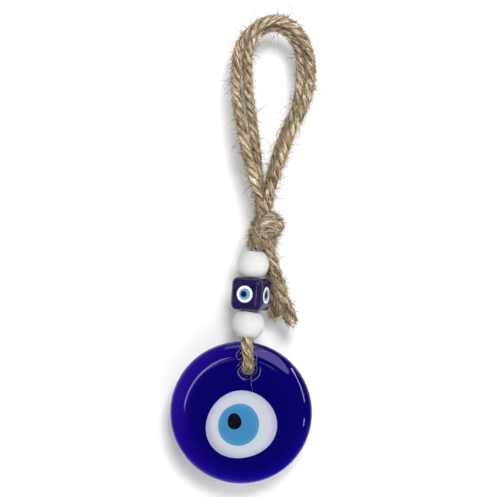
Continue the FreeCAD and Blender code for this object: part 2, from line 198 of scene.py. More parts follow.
def jute_material():
    """Streaks along the fibres, painted shade between the plies, with slow changes of tone along the twine.
    """
    shade = Shade("jute", Roughness=0.95)
    shade.shader.inputs["Specular IOR Level"].default_value = 0.15
    fibre = shade.attribute("fibre", "Vector")
    fine = shade.noise(fibre, 1.0, 3.0, 0.7)
    broad = shade.noise(fibre, 0.33, 2.0, 0.5)
    streak = shade.math("ADD", shade.math("MULTIPLY", fine, 0.7), shade.math("MULTIPLY", broad, 0.3))
    colour = shade.ramp(streak, (0.39, srgb(92, 75, 57)), (0.46, srgb(160, 142, 117)),
                        (0.53, srgb(210, 193, 166)), (0.60, srgb(255, 250, 232)))
    tone = shade.noise(shade.place(), 130.0, 2.0)
    slow = shade.ramp(tone, (0.3, srgb(205, 192, 178)), (0.7, srgb(255, 252, 246)))
    colour = shade.mix("MULTIPLY", 0.8, colour, slow)
    # painted shade: the colour darkens where the ply's surface turns in towards its neighbouring plies
    groove = shade.attribute("groove", "Fac")
    shadow = shade.ramp(groove, (0.0, srgb(166, 150, 132)), (0.25, srgb(220, 210, 197)),
                        (0.6, srgb(255, 255, 255)))
    colour = shade.mix("MULTIPLY", 1.0, colour, shadow)
    shade.feed(colour, "Base Color")
    shade.bump(streak, 1.0, 0.0003)
    return shade.material


def fuzz_material():
    """Fibres from dark straw to nearly white; tone is each fibre's own shade."""
    shade = Shade("jute_fibre", Roughness=0.8)
    tone = shade.attribute("tone", "Fac")
    straw = shade.ramp(tone, (0.0, srgb(72, 58, 42)), (0.5, srgb(160, 140, 110)), (1.0, srgb(238, 224, 196)))
    shade.feed(straw, "Base Color")
    return shade.material


JUTE = jute_material()
FUZZ = fuzz_material()


# ---------------------------------------------------------------- laid twine

FULL_TURN = 2 * math.pi
STEP = 0.35 * MM              # spacing of a ply's rings
TWINE = 4.0 * MM              # diameter of the free twine
PLIES = 3
PITCH = 12.9 * MM             # length of the twine in which a ply goes once round
PLY_RADIUS = 0.278 * TWINE
PLY_OFFSET = 0.262 * TWINE    # from the twine's middle to a ply's middle
BUNDLE_TURN = -FULL_TURN / (18.5 * MM)        # radians per metre; a ply is spun against the lay of the twine
FIBRE_CELLS = 2.6             # streaks of colour round a ply
FIBRE_LENGTH = 2.8 * MM       # length of a streak
COARSE_BUNDLES = (7, 0.055)   # number round a ply, and height as a share of its radius
FINE_BUNDLES = (12, 0.030)
PRESSED = 0.96                # the plies flatten a little against each other
BULGED = 1.06
BLUNT = 0.4                   # how far a ply's end stands out, as a share of its radius
FAR_APART = 17                # between two plies in the noise, so that their streaks differ


def distance_along(line):
    """How far each point lies from the line's start, measured along it."""
    steps = np.linalg.norm(np.diff(line, axis=0), axis=1)
    return np.concatenate([[0], np.cumsum(steps)])


def spline_line(name, route, step=STEP):
    """Evenly spaced points along the smooth curve that a route's points control."""
    curve = bpy.data.curves.new(name, "CURVE")
    curve.dimensions = "3D"
    curve.resolution_u = 24
    spline = curve.splines.new("NURBS")
    spline.points.add(len(route) - 1)
    for point, place in zip(spline.points, route):
        point.co = (place[0] * MM, place[1] * MM, place[2] * MM, 1.0)
    spline.order_u = 3
    spline.use_endpoint_u = True
    holder = bpy.data.objects.new(name, curve)
    mesh = bpy.data.meshes.new_from_object(holder)
    points = np.array([vertex.co for vertex in mesh.vertices])
    bpy.data.objects.remove(holder)
    bpy.data.curves.remove(curve)
    bpy.data.meshes.remove(mesh)
    travelled = distance_along(points)
    even = np.linspace(0, travelled[-1], max(2, round(travelled[-1] / step) + 1))
    return np.column_stack([np.interp(even, travelled, points[:, axis]) for axis in range(3)])


def line_length(line):
    return float(np.sum(np.linalg.norm(np.diff(line, axis=0), axis=1)))


def unit(vectors):
    """The same directions with length 1."""
    return vectors / np.linalg.norm(vectors, axis=-1, keepdims=True)


def twist_free_frames(line):
    """Tangent, normal and binormal at each point, turning no more than the line does."""
    tangents = unit(np.gradient(line, axis=0))
    slanted = (0.31, 0.87, 0.38)           # no line starts this way, so the cross product isn't zero
    first = np.cross(tangents[0], slanted)
    normals = [first / np.linalg.norm(first)]
    for tangent in tangents[1:]:
        carried = normals[-1] - tangent * np.dot(normals[-1], tangent)
        normals.append(carried / np.linalg.norm(carried))
    normals = np.array(normals)
    return tangents, normals, np.cross(tangents, normals)


def wobble(positions, wavelengths, rng):
    """A smooth, slow, uneven wave along the twine, between about -1 and 1."""
    total = np.zeros(len(positions))
    for wavelength in wavelengths:
        total += np.sin(FULL_TURN * (positions / wavelength + rng.random())) * rng.uniform(0.5, 1.0)
    return total / len(wavelengths)


def mesh_piece(name, vertices, faces, material, **attributes):
    """A smooth-shaded mesh object from arrays, with its attributes for the material."""
    mesh = bpy.data.meshes.new(name)
    mesh.from_pydata(vertices.tolist(), [], faces)
    for key, values in attributes.items():
        kind = "FLOAT_VECTOR" if values.ndim == 2 else "FLOAT"
        store = mesh.attributes.new(key, kind, "POINT")
        store.data.foreach_set("vector" if values.ndim == 2 else "value", values.astype(np.float32).ravel())
    mesh.shade_smooth()
    mesh.materials.append(material)
    piece = bpy.data.objects.new(name, mesh)
    bpy.context.scene.collection.objects.link(piece)
    return piece


def grid_faces(rings, around, first):
    """Faces between the rings of a tube whose first vertex is numbered first, and a fan at each end.

    The fans' middle vertices, the head and the tail, come straight after the last ring.
    """
    faces = []
    for ring in range(rings - 1):
        low = first + ring * around
        high = low + around
        for corner in range(around):
            following = (corner + 1) % around
            faces.append((low + corner, low + following, high + following, high + corner))
    last = first + (rings - 1) * around
    head = last + around
    tail = head + 1
    for corner in range(around):
        following = (corner + 1) % around
        faces.append((head, first + following, first + corner))
        faces.append((tail, last + corner, last + following))
    return faces


def tube_layer(line, centre, radius, seed, ply, rng, around):
    """One ply: rings round its own centre line, with bundles of fibre.

    line is the middle that the ply goes round. The results are the points, a coordinate for the streaks at
    each, and how much each faces away from the middle, -1 to 1.
    """
    tangent = unit(np.gradient(centre, axis=0))
    outward = centre - line
    outward = unit(outward - tangent * np.sum(outward * tangent, axis=1, keepdims=True))
    sideways = np.cross(tangent, outward)
    along = distance_along(centre)
    theta = np.linspace(0, FULL_TURN, around, endpoint=False)
    around_ply = theta[None, :] + along[:, None] * BUNDLE_TURN
    number, height = COARSE_BUNDLES
    bundles = height * np.cos(number * around_ply + 2.0 * wobble(along, (6 * MM, 11 * MM), rng)[:, None])
    number, height = FINE_BUNDLES
    bundles += height * np.cos(number * around_ply + rng.uniform(0, 6))
    reach = radius[:, None] * (1 + bundles)
    rings = (centre[:, None, :]
             + (reach * np.cos(theta) * PRESSED)[:, :, None] * outward[:, None, :]
             + (reach * np.sin(theta) * BULGED)[:, :, None] * sideways[:, None, :])
    head = centre[0] - tangent[0] * radius[0] * BLUNT
    tail = centre[-1] + tangent[-1] * radius[-1] * BLUNT
    streaks = np.stack([FIBRE_CELLS * np.cos(around_ply) + FAR_APART * ply,
                        FIBRE_CELLS * np.sin(around_ply),
                        np.broadcast_to((along / FIBRE_LENGTH)[:, None], around_ply.shape) + seed], axis=2)
    streaks = streaks.reshape(-1, 3)
    facing = np.broadcast_to(np.cos(theta)[None, :], around_ply.shape).reshape(-1)
    end_facing = [0.3, 0.3]
    return (np.vstack([rings.reshape(-1, 3), head, tail]),
            np.vstack([streaks, streaks[:1], streaks[-1:]]),
            np.concatenate([facing, end_facing]))


class PlyLayers:
    """The plies of one piece, gathered into a single mesh.

    around is the number of points in a ring. groove is 0 deep between the plies and 1 on their crests; it
    sets the jute's painted shade.
    """

    def __init__(self, name, around):
        self.name = name
        self.around = around
        self.first = 0
        self.vertices = []
        self.faces = []
        self.fibre = []
        self.groove = []

    def add(self, points, fibre, groove):
        """One more ply: the points of its rings, and then its two ends."""
        rings = (len(points) - 2) // self.around
        self.faces += grid_faces(rings, self.around, self.first)
        self.vertices.append(points)
        self.fibre.append(fibre)
        self.groove.append(groove)
        self.first += len(points)

    def piece(self):
        """The mesh object of all the plies."""
        made = mesh_piece(self.name, np.vstack(self.vertices), self.faces, JUTE,
                          fibre=np.vstack(self.fibre), groove=np.concatenate(self.groove))
        return made


def lay_twine(name, line, seed, thickness=1.0, open_out=0.0, around=14, phase=0.0):
    """Three plies laid round a line, each with its own bundles of fibre.

    thickness scales the twine and open_out loosens its lay, 0 to 1; each is a number, or an array along the
    line. phase turns the plies where they start, in radians.
    """
    rng = np.random.default_rng(seed)
    tangents, normals, binormals = twist_free_frames(line)
    count = len(line)
    along = distance_along(line)
    thickness = np.broadcast_to(np.asarray(thickness, float), count)
    loose = np.broadcast_to(np.asarray(open_out, float), count)
    turns = np.diff(along) / PITCH * (1 - 0.75 * loose[1:])
    turn = -np.concatenate([[0], np.cumsum(FULL_TURN * turns)]) + phase
    layers = PlyLayers(name, around)
    for ply in range(PLIES):
        angle = turn + ply * FULL_TURN / PLIES + 0.18 * wobble(along, (9 * MM, 21 * MM), rng)
        swell = 1 + 0.09 * wobble(along, (4 * MM, 7.5 * MM, 13 * MM), rng)
        ply_radius = PLY_RADIUS * thickness * swell * (1 + 0.10 * loose)
        ply_offset = PLY_OFFSET * thickness * (1 + 0.45 * loose)
        outward = np.cos(angle)[:, None] * normals + np.sin(angle)[:, None] * binormals
        centre = line + ply_offset[:, None] * outward
        points, streaks, facing = tube_layer(line, centre, ply_radius, seed, ply, rng, around)
        # the last value sets the painted shade, deepest between the plies
        layers.add(points, streaks, np.clip((facing - 0.20) / 0.6, 0, 1))
    return layers.piece()


def lay_strands(name, lines, middles, radius, seed, around=12):
    """Single plies side by side, as they show where the twine is drawn tight round the knot's middles."""
    rng = np.random.default_rng(seed)
    layers = PlyLayers(name, around)
    for number, (line, middle) in enumerate(zip(lines, middles)):
        along = np.arange(len(line)) * STEP
        size = radius * (1 + 0.16 * wobble(along, (4 * MM, 9 * MM), rng)) * rng.uniform(0.85, 1.15)
        inner = np.broadcast_to(np.array(middle), line.shape)
        points, streaks, facing = tube_layer(inner, line, size, seed, number, rng, around)
        # the last value sets the painted shade between the plies, made deeper on some strands at random
        layers.add(points, streaks, np.clip((facing + 0.05) / 0.80, 0, 1) * rng.uniform(0.35, 1.1))
    return layers.piece()


# ---------------------------------------------------------------- stray fibres

# ranges of the fibres' tones, from 0 for the darkest to 1 for the lightest
LIGHT = (0.40, 1.0)
MIXED = (0.15, 0.85)
DARK = (0.0, 0.45)
ALL = (0.0, 1.0)

# A kind of stray fibre: how many leave each mm of a line, their shortest and longest length in mm, how far
# they turn outward, how much they curl, how many joints they are drawn in, their thickness as a radius in mm,
# and the range of their tones.
FibreKind = namedtuple("FibreKind", "per_mm lengths outward curl joints thickness tones")

CLOSE = FibreKind(per_mm=10.5, lengths=(1.2, 3.2), outward=(0.0, 0.25), curl=0.6, joints=3,
                  thickness=0.08, tones=LIGHT)
STANDING = FibreKind(per_mm=8.4, lengths=(0.8, 2.4), outward=(0.3, 1.1), curl=1.0, joints=3,
                     thickness=0.09, tones=MIXED)
STRAY = FibreKind(per_mm=3.0, lengths=(2.0, 6.5), outward=(0.2, 1.0), curl=3.0, joints=8,
                  thickness=0.095, tones=DARK)
LONG = FibreKind(per_mm=0.36, lengths=(6.0, 11.0), outward=(0.3, 1.0), curl=5.5, joints=14,
                 thickness=0.10, tones=DARK)
LOOP_FIBRES = (CLOSE, STANDING, STRAY, LONG)
STRING_FIBRES = (CLOSE._replace(tones=ALL), STANDING, STRAY._replace(per_mm=1.8),
                 LONG._replace(per_mm=0.216))

TAIL_CLOSE = FibreKind(per_mm=16.0, lengths=(1.5, 4.0), outward=(0.0, 0.3), curl=0.6, joints=3,
                       thickness=0.09, tones=ALL)
TAIL_STANDING = STANDING._replace(per_mm=12.0)
TAIL_FRAYED = FibreKind(per_mm=16.0, lengths=(1.5, 4.0), outward=(0.1, 0.6), curl=0.9, joints=4,
                        thickness=0.10, tones=MIXED)
TAIL_STRAY = FibreKind(per_mm=2.2, lengths=(2.5, 7.0), outward=(0.4, 1.2), curl=2.2, joints=6,
                       thickness=0.10, tones=DARK)

KNOT_CLOSE = FibreKind(per_mm=1.6, lengths=(2.0, 5.0), outward=(0.0, 0.25), curl=0.5, joints=4,
                       thickness=0.10, tones=ALL)
KNOT_STANDING = FibreKind(per_mm=0.8, lengths=(0.8, 2.4), outward=(0.3, 1.1), curl=1.0, joints=3,
                          thickness=0.10, tones=ALL)
KNOT_SKIRT = FibreKind(per_mm=9.0, lengths=(1.0, 3.0), outward=(0.1, 0.8), curl=1.2, joints=4,
                       thickness=0.095, tones=ALL)
KNOT_STRAY = FibreKind(per_mm=0.16, lengths=(2.0, 6.0), outward=(0.4, 1.2), curl=2.6, joints=6,
                       thickness=0.09, tones=DARK)

TWINE_SURFACE = 0.53 * TWINE           # from the twine's middle to where its fuzz starts


def grow_hairs(starts, headings, lengths, curl, joints, rng):
    """Points of many stray fibres at once, each curling its own way; shape (hairs, joints + 1, 3)."""
    count = len(starts)
    headings = unit(headings)
    bends = rng.normal(size=(count, 3)) * curl
    points = [starts]
    for _ in range(joints):
        jitter = rng.normal(size=(count, 3)) * curl * 0.5
        headings = unit(headings + (bends + jitter) / joints)
        points.append(points[-1] + headings * (lengths / joints)[:, None])
    return np.stack(points, axis=1)


def hair_mesh(name, bunches, rng):
    """Every stray fibre as a fine three-sided thread that tapers to its tip.

    A bunch is the fibres' points, their thickness as a radius in mm, and the range of their tones.
    """
    vertices, faces, shades = [], [], []
    first = 0
    for hairs, thickness, tones in bunches:
        count, length = hairs.shape[:2]
        tangents = unit(np.gradient(hairs, axis=1))
        normals = unit(np.cross(tangents, unit(rng.normal(size=(count, 1, 3)))))
        binormals = np.cross(tangents, normals)
        taper = np.linspace(1, 0.35, length)[None, :, None]
        radius = thickness * MM * rng.uniform(0.6, 1.3, size=(count, 1, 1)) * taper
        corners = [hairs + radius * (math.cos(turn) * normals + math.sin(turn) * binormals)
                   for turn in (0, FULL_TURN / 3, FULL_TURN * 2 / 3)]
        vertices.append(np.stack(corners, axis=2).reshape(-1, 3))
        shades.append(np.repeat(rng.uniform(*tones, size=count), length * 3))
        for hair in range(count):
            root = first + hair * length * 3
            tip = root + (length - 1) * 3
            for low in range(root, tip, 3):
                faces += [(low, low + 1, low + 4, low + 3), (low + 1, low + 2, low + 5, low + 4),
                          (low + 2, low, low + 3, low + 5)]
            faces += [(root, root + 2, root + 1), (tip, tip + 1, tip + 2)]
        first += count * length * 3
    piece = mesh_piece(name, np.vstack(vertices), faces, FUZZ, tone=np.concatenate(shades))
    return piece


def fibres_near(kind, lines, radius, rng):
    """A bunch of one kind of fibre that leaves the surface, a radius away, all round some lines."""
    starts, headings = [], []
    for line in lines:
        tangents, normals, binormals = twist_free_frames(line)
        count = int(line_length(line) / MM * kind.per_mm)
        at = rng.integers(1, len(line) - 1, size=count)
        angle = rng.uniform(0, FULL_TURN, size=count)[:, None]
        outward = np.cos(angle) * normals[at] + np.sin(angle) * binormals[at]
        side = np.cross(tangents[at], outward)
        lean = rng.choice((-1, 1), size=(count, 1)) * rng.uniform(0.5, 1.6, size=(count, 1))
        starts.append(line[at] + outward * radius * rng.uniform(0.90, 1.06, size=(count, 1)))
        headings.append(outward * rng.uniform(*kind.outward, size=(count, 1)) + tangents[at] * lean
                        + side * rng.normal(size=(count, 1)) * 0.45)
    starts = np.vstack(starts)
    headings = np.vstack(headings)
    lengths = rng.uniform(*kind.lengths, size=len(starts)) * MM
    return grow_hairs(starts, headings, lengths, kind.curl, kind.joints, rng), kind.thickness, kind.tones


def fuzz_along(name, lines, seed, kinds, placed, placed_thickness, placed_tones):
    """The fuzz of each kind round some lines, and the listed stray hairs."""
    rng = np.random.default_rng(seed)
    bunches = [fibres_near(kind, lines, TWINE_SURFACE, rng) for kind in kinds]
    for route in placed:
        hair = spline_line("hair_guide", route, 0.6 * MM)
        bunches.append((hair[None], placed_thickness, placed_tones))
    return hair_mesh(name, bunches, rng)


def end_brush(line, radius, rng):
    """A bunch of fibres that fan out of the cut end where a line ends."""
    count = 240
    spread = 0.30
    curl = 1.0
    joints = 4
    thickness = 0.10
    heading = unit(line[-1] - line[-8])
    roots = line[rng.integers(len(line) - 12, len(line), size=count)]
    starts = roots + rng.normal(size=(count, 3)) * radius * 0.45
    headings = heading + rng.normal(size=(count, 3)) * spread
    lengths = rng.uniform(0.8, 3.0, size=count) * MM
    return grow_hairs(starts, headings, lengths, curl, joints, rng), thickness, MIXED


# ---------------------------------------------------------------- the twine's routes, in millimetres

LOOP_OUTER_ROUTE = [
    (3.4, -0.6, -82.0), (2.1, -2.0, -74.5), (-1.8, -2.0, -63.5), (-6.8, -1.7, -50.5),
    (-10.7, -1.2, -35.5), (-13.0, -0.8, -20.0), (-12.6, -1.0, -8.8), (-7.2, -1.8, -0.9),
    (-1.0, -2.3, 3.4), (6.2, -2.3, 3.7), (12.6, -1.9, -0.2), (17.6, -1.2, -8.8),
    (19.3, -0.9, -19.5), (17.4, -1.2, -31.5), (12.1, -1.9, -43.0), (9.0, -2.1, -54.5),
    (5.8, -2.1, -65.5), (4.3, -2.0, -74.5), (4.6, -0.6, -81.5),
]
LOOP_INNER_ROUTE = [
    (2.6, 2.1, -82.0), (1.7, 2.2, -74.5), (0.2, 2.1, -64.7), (-1.4, 1.9, -53.5), (-4.4, 1.6, -38.5),
    (-6.6, 1.2, -29.5), (-8.0, 0.9, -19.5), (-8.8, 1.0, -9.0), (-5.2, 1.7, -1.9),
    (0.0, 2.1, 1.5), (5.2, 2.1, 1.5), (10.3, 1.7, -2.0), (14.0, 1.1, -9.8),
    (15.3, 0.8, -20.5), (14.2, 1.2, -32.0), (9.9, 1.9, -43.0), (6.6, 2.1, -54.5),
    (4.9, 2.2, -65.5), (4.2, 2.2, -74.5), (4.6, 2.1, -81.5),
]
TAIL_RIGHT_ROUTE = [
    (5.4, -0.6, -88.6), (7.4, 1.0, -94.6), (9.8, 2.0, -101.0), (11.9, 1.7, -107.4),
    (14.0, 1.1, -113.4), (16.4, 0.7, -118.4), (18.6, 0.5, -122.9),
]
TAIL_LEFT_ROUTE = [
    (4.0, 2.8, -88.2), (6.6, 6.2, -95.0), (8.3, 7.6, -102.0), (9.5, 8.6, -108.5),
    (10.4, 8.9, -114.5), (11.2, 8.5, -121.2),
]
# the back half of the twine from the knot down through the beads and round to the middle of the disc's hole
BIGHT_LEG = [
    (0.5, 1.55, -93.0), (0.5, 1.55, -108.0), (0.5, 1.55, -121.0), (0.5, 1.6, -129.0), (0.45, 1.9, -131.1),
    (0.4, 5.6, -133.6), (1.0, 6.1, -138.2), (1.6, 5.9, -142.75),
]
# the longest stray hairs on the loop, and those beside the bight and on the disc
LOOP_HAIRS = [
    [(-2.6, -2.5, -47.0), (1.0, -3.5, -46.0), (4.8, -3.5, -49.5), (3.8, -3.0, -53.5), (0.8, -2.5, -52.0)],
    [(12.0, -2.5, -43.0), (8.6, -3.0, -41.0), (5.6, -3.0, -44.0), (7.4, -2.5, -49.0), (4.5, -2.5, -54.0)],
    [(-4.0, -2.5, -38.0), (0.0, -4.0, -32.5), (6.0, -4.0, -31.0), (11.5, -3.0, -34.5)],
    [(13.0, -2.0, -30.0), (8.0, -3.0, -33.0), (4.5, -3.0, -38.0), (5.0, -3.0, -43.0), (9.0, -2.0, -46.0)],
    [(-6.5, -1.0, -12.0), (-4.0, -2.5, -6.5), (0.0, -3.0, -5.5), (3.5, -2.0, -9.0)],
    [(19.5, -1.5, -27.0), (24.0, -2.0, -25.0), (26.5, -2.0, -28.5), (24.0, -2.0, -31.0)],
    [(-13.0, -1.5, -24.0), (-16.5, -2.0, -23.0), (-18.0, -2.0, -26.5), (-15.5, -2.0, -28.5)],
    [(7.0, -2.5, 4.5), (9.5, -2.5, 7.5), (8.0, -2.5, 10.5), (4.5, -2.0, 10.0)],
]
BIGHT_HAIRS = [
    [(2.4, -4.8, -143.4), (3.4, -4.4, -146.5), (3.0, -4.1, -149.0), (4.3, -4.0, -152.5)],
    [(-0.6, -5.6, -134.6), (-3.6, -5.0, -136.2), (-3.8, -4.6, -139.4), (-1.0, -4.6, -140.4),
     (-3.4, -4.4, -143.0)],
    [(2.9, -5.6, -136.0), (5.4, -5.0, -137.2), (4.6, -4.6, -141.0), (6.0, -4.4, -144.0), (3.6, -4.3, -146.0)],
    [(0.6, -5.6, -141.0), (-2.6, -4.6, -143.4), (-2.4, -4.3, -146.8), (0.6, -4.2, -148.2)],
    [(5.2, -4.1, -154.0), (6.6, -4.1, -157.0), (8.0, -4.1, -157.6), (9.6, -4.1, -160.6),
     (13.4, -4.1, -161.6)],
]


# ---------------------------------------------------------------- loop, tails and string

def free_cord(name, route, body, stand_ins, seed, far_end, lay, fuzz, **looks):
    """A stretch of twine along a route, in place of its stand-ins in the CAD."""
    line = spline_line(name, route)
    twine = lay_twine(name, line, seed, **looks)
    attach(twine, body)
    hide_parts(*stand_ins)


def make_loop():
    """The hanging loop's two strands, from the knot round the hook and back to the knot."""
    for side, route, placed, seed, phase in (("outer", LOOP_OUTER_ROUTE, LOOP_HAIRS, 3, 0.0),
                                             ("inner", LOOP_INNER_ROUTE, [], 5, 0.8)):
        fuzz = fuzz_along("loop_fuzz_" + side, [spline_line("fuzz_guide", route)], seed + 8, LOOP_FIBRES,
                          placed, placed_thickness=0.12, placed_tones=DARK)
        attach(fuzz, "hanger")
        free_cord("loop_twine_" + side, route, "hanger", ["loop_cord_" + side], seed, "object", "hanging",
                  fuzz, phase=phase)


def make_tails():
    """The two cut ends, loosening and fraying over their last centimetres."""
    for side, route, seed in (("right", TAIL_RIGHT_ROUTE, 7), ("left", TAIL_LEFT_ROUTE, 9)):
        line = spline_line("tail_guide", route)
        frayed_half = line[len(line) // 2:]
        rng = np.random.default_rng(seed + 20)
        bunches = [fibres_near(TAIL_CLOSE, [line], TWINE_SURFACE, rng),
                   fibres_near(TAIL_STANDING, [line], TWINE_SURFACE, rng),
                   fibres_near(TAIL_FRAYED, [frayed_half], 1.2 * TWINE_SURFACE, rng),
                   fibres_near(TAIL_STRAY, [line], TWINE_SURFACE, rng),
                   end_brush(line, 1.15 * TWINE_SURFACE, rng)]
        fuzz = hair_mesh("tail_twine_%s_fuzz" % side, bunches, rng)
        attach(fuzz, "hanger")
        share = np.linspace(0, 1, len(line))
        loose = np.clip((share - 0.25) / 0.75, 0, 1) ** 1.3
        free_cord("tail_twine_" + side, route, "hanger", ["tail_cord_" + side], seed, "bare", "hanging",
                  fuzz, open_out=loose, thickness=1 + 0.15 * loose)


BEAD_MOUTH = -132.5           # height in millimetres where the twine leaves the lowest bead


def make_string():
    """The twine from the knot through the beads, round the glass and back up.

    It is squeezed inside the beads and in the disc's hole, and drawn thinner beside the disc.
    """
    front_leg = [(x, -y, z) for x, y, z in BIGHT_LEG]
    route = front_leg + BIGHT_LEG[::-1]
    line = spline_line("string_guide", route)
    depth = np.abs(line[:, 1] / MM)
    height = line[:, 2] / MM
    in_beads = np.clip((height - BEAD_MOUTH) / 2.0, 0, 1)
    in_hole = np.clip((4.5 - depth) / 2.0, 0, 1) * (1 - in_beads)
    beside_disc = np.clip((BEAD_MOUTH - 0.5 - height) / 7.0, 0, 1) * (1 - in_hole)
    thickness = 1.18 - 0.44 * in_beads - 0.30 * in_hole - 0.18 * beside_disc
    visible = line[height < BEAD_MOUTH + 1.0]
    half = len(visible) // 2
    fuzz = fuzz_along("string_fuzz", [visible[:half], visible[half:]], 31, STRING_FIBRES,
                      BIGHT_HAIRS, placed_thickness=0.07, placed_tones=LIGHT)
    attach(fuzz, "bead_string")
    free_cord("string_twine", route, "bead_string", ["bead_run_front", "bead_run_back", "disc_bight_cord"],
              13, "object", "taut", fuzz, thickness=thickness)


# ---------------------------------------------------------------- knot

# A lobe of the knot: its middle and half sizes in millimetres, the pole that its turns go round, and the
# angles of the turns from that pole in degrees.
Lobe = namedtuple("Lobe", "centre half_sizes pole angles")
UPPER_LOBE = Lobe(centre=(6.6, -0.7, -82.8), half_sizes=(5.1, 5.7, 5.1), pole=(0.12, -0.48, -0.87),
                  angles=range(12, 150, 9))
LOWER_LOBE = Lobe(centre=(3.2, 0, -87.6), half_sizes=(4.8, 4.8, 5.0), pole=(0.62, -0.05, 0.78),
                  angles=range(30, 150, 12))
KNOT_PLY_RADIUS = 0.64 * MM
KNOT_SURFACE = 0.75 * MM      # from a ply's middle to where its fuzz starts

# the bundle below the lobes, in millimetres: its middle and half width at some heights
SKIRT_STRANDS = 21
SKIRT_TOP = -84.2             # where its strands start on average; they start lower on the right
SKIRT_TOP_SLANT = 3.3
SKIRT_HEIGHTS = (-93.3, -91.0, -87.5, -84.0, -80.0)
SKIRT_MIDDLES = (3.7, 3.5, 3.7, 3.9, 3.8)
SKIRT_REACHES = (4.2, 5.0, 5.1, 4.4, 3.2)
SKIRT_CENTRE = (3.5, 0, -88.0)


def lobe_wraps(lobe, rng):
    """Turns of one ply round a lobe, about its pole, each a little uneven."""
    pole = unit(np.array(lobe.pole))
    centre = np.array(lobe.centre) * MM
    half_sizes = np.array(lobe.half_sizes) * MM
    side = unit(np.cross(pole, (0, 1, 0)))
    other = np.cross(pole, side)
    lines = []
    for angle in lobe.angles:
        angle = math.radians(angle + rng.uniform(-2, 2))
        count = int(FULL_TURN * half_sizes[0] * math.sin(angle) / STEP) + 8
        start = rng.uniform(0, 0.6)
        turn = np.linspace(start, start + FULL_TURN * 0.98, count)
        sway = math.radians(5) * np.sin(turn * 2 + rng.uniform(0, 6))
        sway += math.radians(4) * np.sin(turn + rng.uniform(0, 6))
        polar = angle + sway
        lift = 1 + 0.035 * np.sin(3 * turn + rng.uniform(0, 6)) - rng.uniform(0, 0.05)
        around = np.cos(turn)[:, None] * side + np.sin(turn)[:, None] * other
        points = np.cos(polar)[:, None] * pole + np.sin(polar)[:, None] * around
        lines.append(centre + points * half_sizes * lift[:, None])
    return lines


def skirt_strands(rng):
    """Bundles that run down the knot's lower part and spread over the bead and the tails."""
    lines = []
    for turn in np.linspace(0, FULL_TURN, SKIRT_STRANDS, endpoint=False):
        turn += rng.uniform(-0.15, 0.15)
        top = SKIRT_TOP - SKIRT_TOP_SLANT * math.cos(turn)
        bottom = SKIRT_HEIGHTS[0] + 1.3 * abs(math.sin(turn)) + rng.uniform(0, 0.5)
        z = np.linspace(top + rng.uniform(-0.8, 0.8), bottom, 30)
        share = (z - z[0]) / (z[-1] - z[0])
        reach = np.interp(z, SKIRT_HEIGHTS, SKIRT_REACHES) + 0.25 * np.sin(7 * share + rng.uniform(0, 6))
        angle = turn + 0.45 * share + 0.10 * np.sin(7 * share + rng.uniform(0, 6))
        x = np.interp(z, SKIRT_HEIGHTS, SKIRT_MIDDLES) + reach * np.cos(angle)
        y = reach * np.sin(angle) * 0.95
        lines.append(np.stack([x, y, z], axis=1) * MM)
    return lines


def make_knot():
    """Turns of tightly drawn ply over two lobes, and the loose bundle below them."""
    rng = np.random.default_rng(21)
    lines, middles = [], []
    for lobe in (LOWER_LOBE, UPPER_LOBE):
        wraps = lobe_wraps(lobe, rng)
        lines += wraps
        middles += [np.array(lobe.centre) * MM] * len(wraps)
    skirt = skirt_strands(rng)
    lines += skirt
    middles += [np.array(SKIRT_CENTRE) * MM] * len(skirt)
    knot = lay_strands("knot_twine", lines, middles, KNOT_PLY_RADIUS, 40)
    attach(knot, "hanger")
    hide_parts("overhand_knot")
    bunches = [fibres_near(KNOT_CLOSE, lines, KNOT_SURFACE, rng),
               fibres_near(KNOT_STANDING, lines, KNOT_SURFACE, rng),
               fibres_near(KNOT_SKIRT, skirt, KNOT_SURFACE, rng),
               fibres_near(KNOT_STRAY, lines, KNOT_SURFACE, rng)]
    fuzz = hair_mesh("knot_fuzz", bunches, rng)
    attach(fuzz, "hanger")


make_loop()
make_tails()
make_string()
make_knot()


# ---------------------------------------------------------------- glass and wood

DISC_LOW, DISC_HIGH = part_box("glass_disc")
DISC_CENTRE = (DISC_LOW + DISC_HIGH) / 2
DISC_RADIUS = (DISC_HIGH.x - DISC_LOW.x) / 2


def paint(node, material):
    """Put one material on a CAD node in place of its plain one."""
    nodes[node].data.materials.clear()
    nodes[node].data.materials.append(material)


def cobalt_glass():
    """Deep blue where the glass is thick; painted light along its rim, violet on the left and blue below."""
    shade = Shade("cobalt_glass", Roughness=0.04, IOR=1.5)
    away = shade.offset_across(DISC_CENTRE)
    share = shade.math("DIVIDE", shade.length(away), DISC_RADIUS)
    cloud = shade.noise(shade.place(), 45.0, 2.0)
    share = shade.math("ADD", share, shade.math("MULTIPLY", shade.math("SUBTRACT", cloud, 0.5), 0.06))
    parts = shade.node("ShaderNodeSeparateXYZ")
    shade.link(away, parts.inputs[0])
    # painted light: the glass gets lighter towards its thinner rim, and more so on the left and at the bottom
    leftness = shade.spread(parts.outputs["X"], 0.2 * DISC_RADIUS, -0.9 * DISC_RADIUS)
    lowness = shade.spread(parts.outputs["Z"], 0.1 * DISC_RADIUS, -0.95 * DISC_RADIUS)
    deep = srgb(3, 0, 84)
    # painted light: a slightly lighter rim, all the way round
    plain = shade.ramp(share, (0.0, deep), (0.80, srgb(4, 0, 90)),
                       (0.93, srgb(8, 0, 96)), (1.0, srgb(12, 6, 88)))
    painted_left_rim_light = shade.ramp(share, (0.0, deep), (0.70, srgb(5, 0, 90)), (0.80, srgb(30, 4, 124)),
                          (0.95, srgb(30, 16, 136)), (1.0, srgb(60, 46, 140)))
    painted_low_rim_light = shade.ramp(share, (0.0, deep), (0.78, srgb(4, 0, 92)), (0.88, srgb(10, 0, 116)),
                         (0.95, srgb(24, 10, 134)), (1.0, srgb(70, 56, 160)))
    colour = shade.mix("MIX", leftness, plain, painted_left_rim_light)
    colour = shade.mix("MIX", lowness, colour, painted_low_rim_light)
    shade.feed(colour, "Base Color")
    shade.bump(shade.noise(shade.place(), 60.0, 1.0), 0.05, 0.0006)
    return shade.material


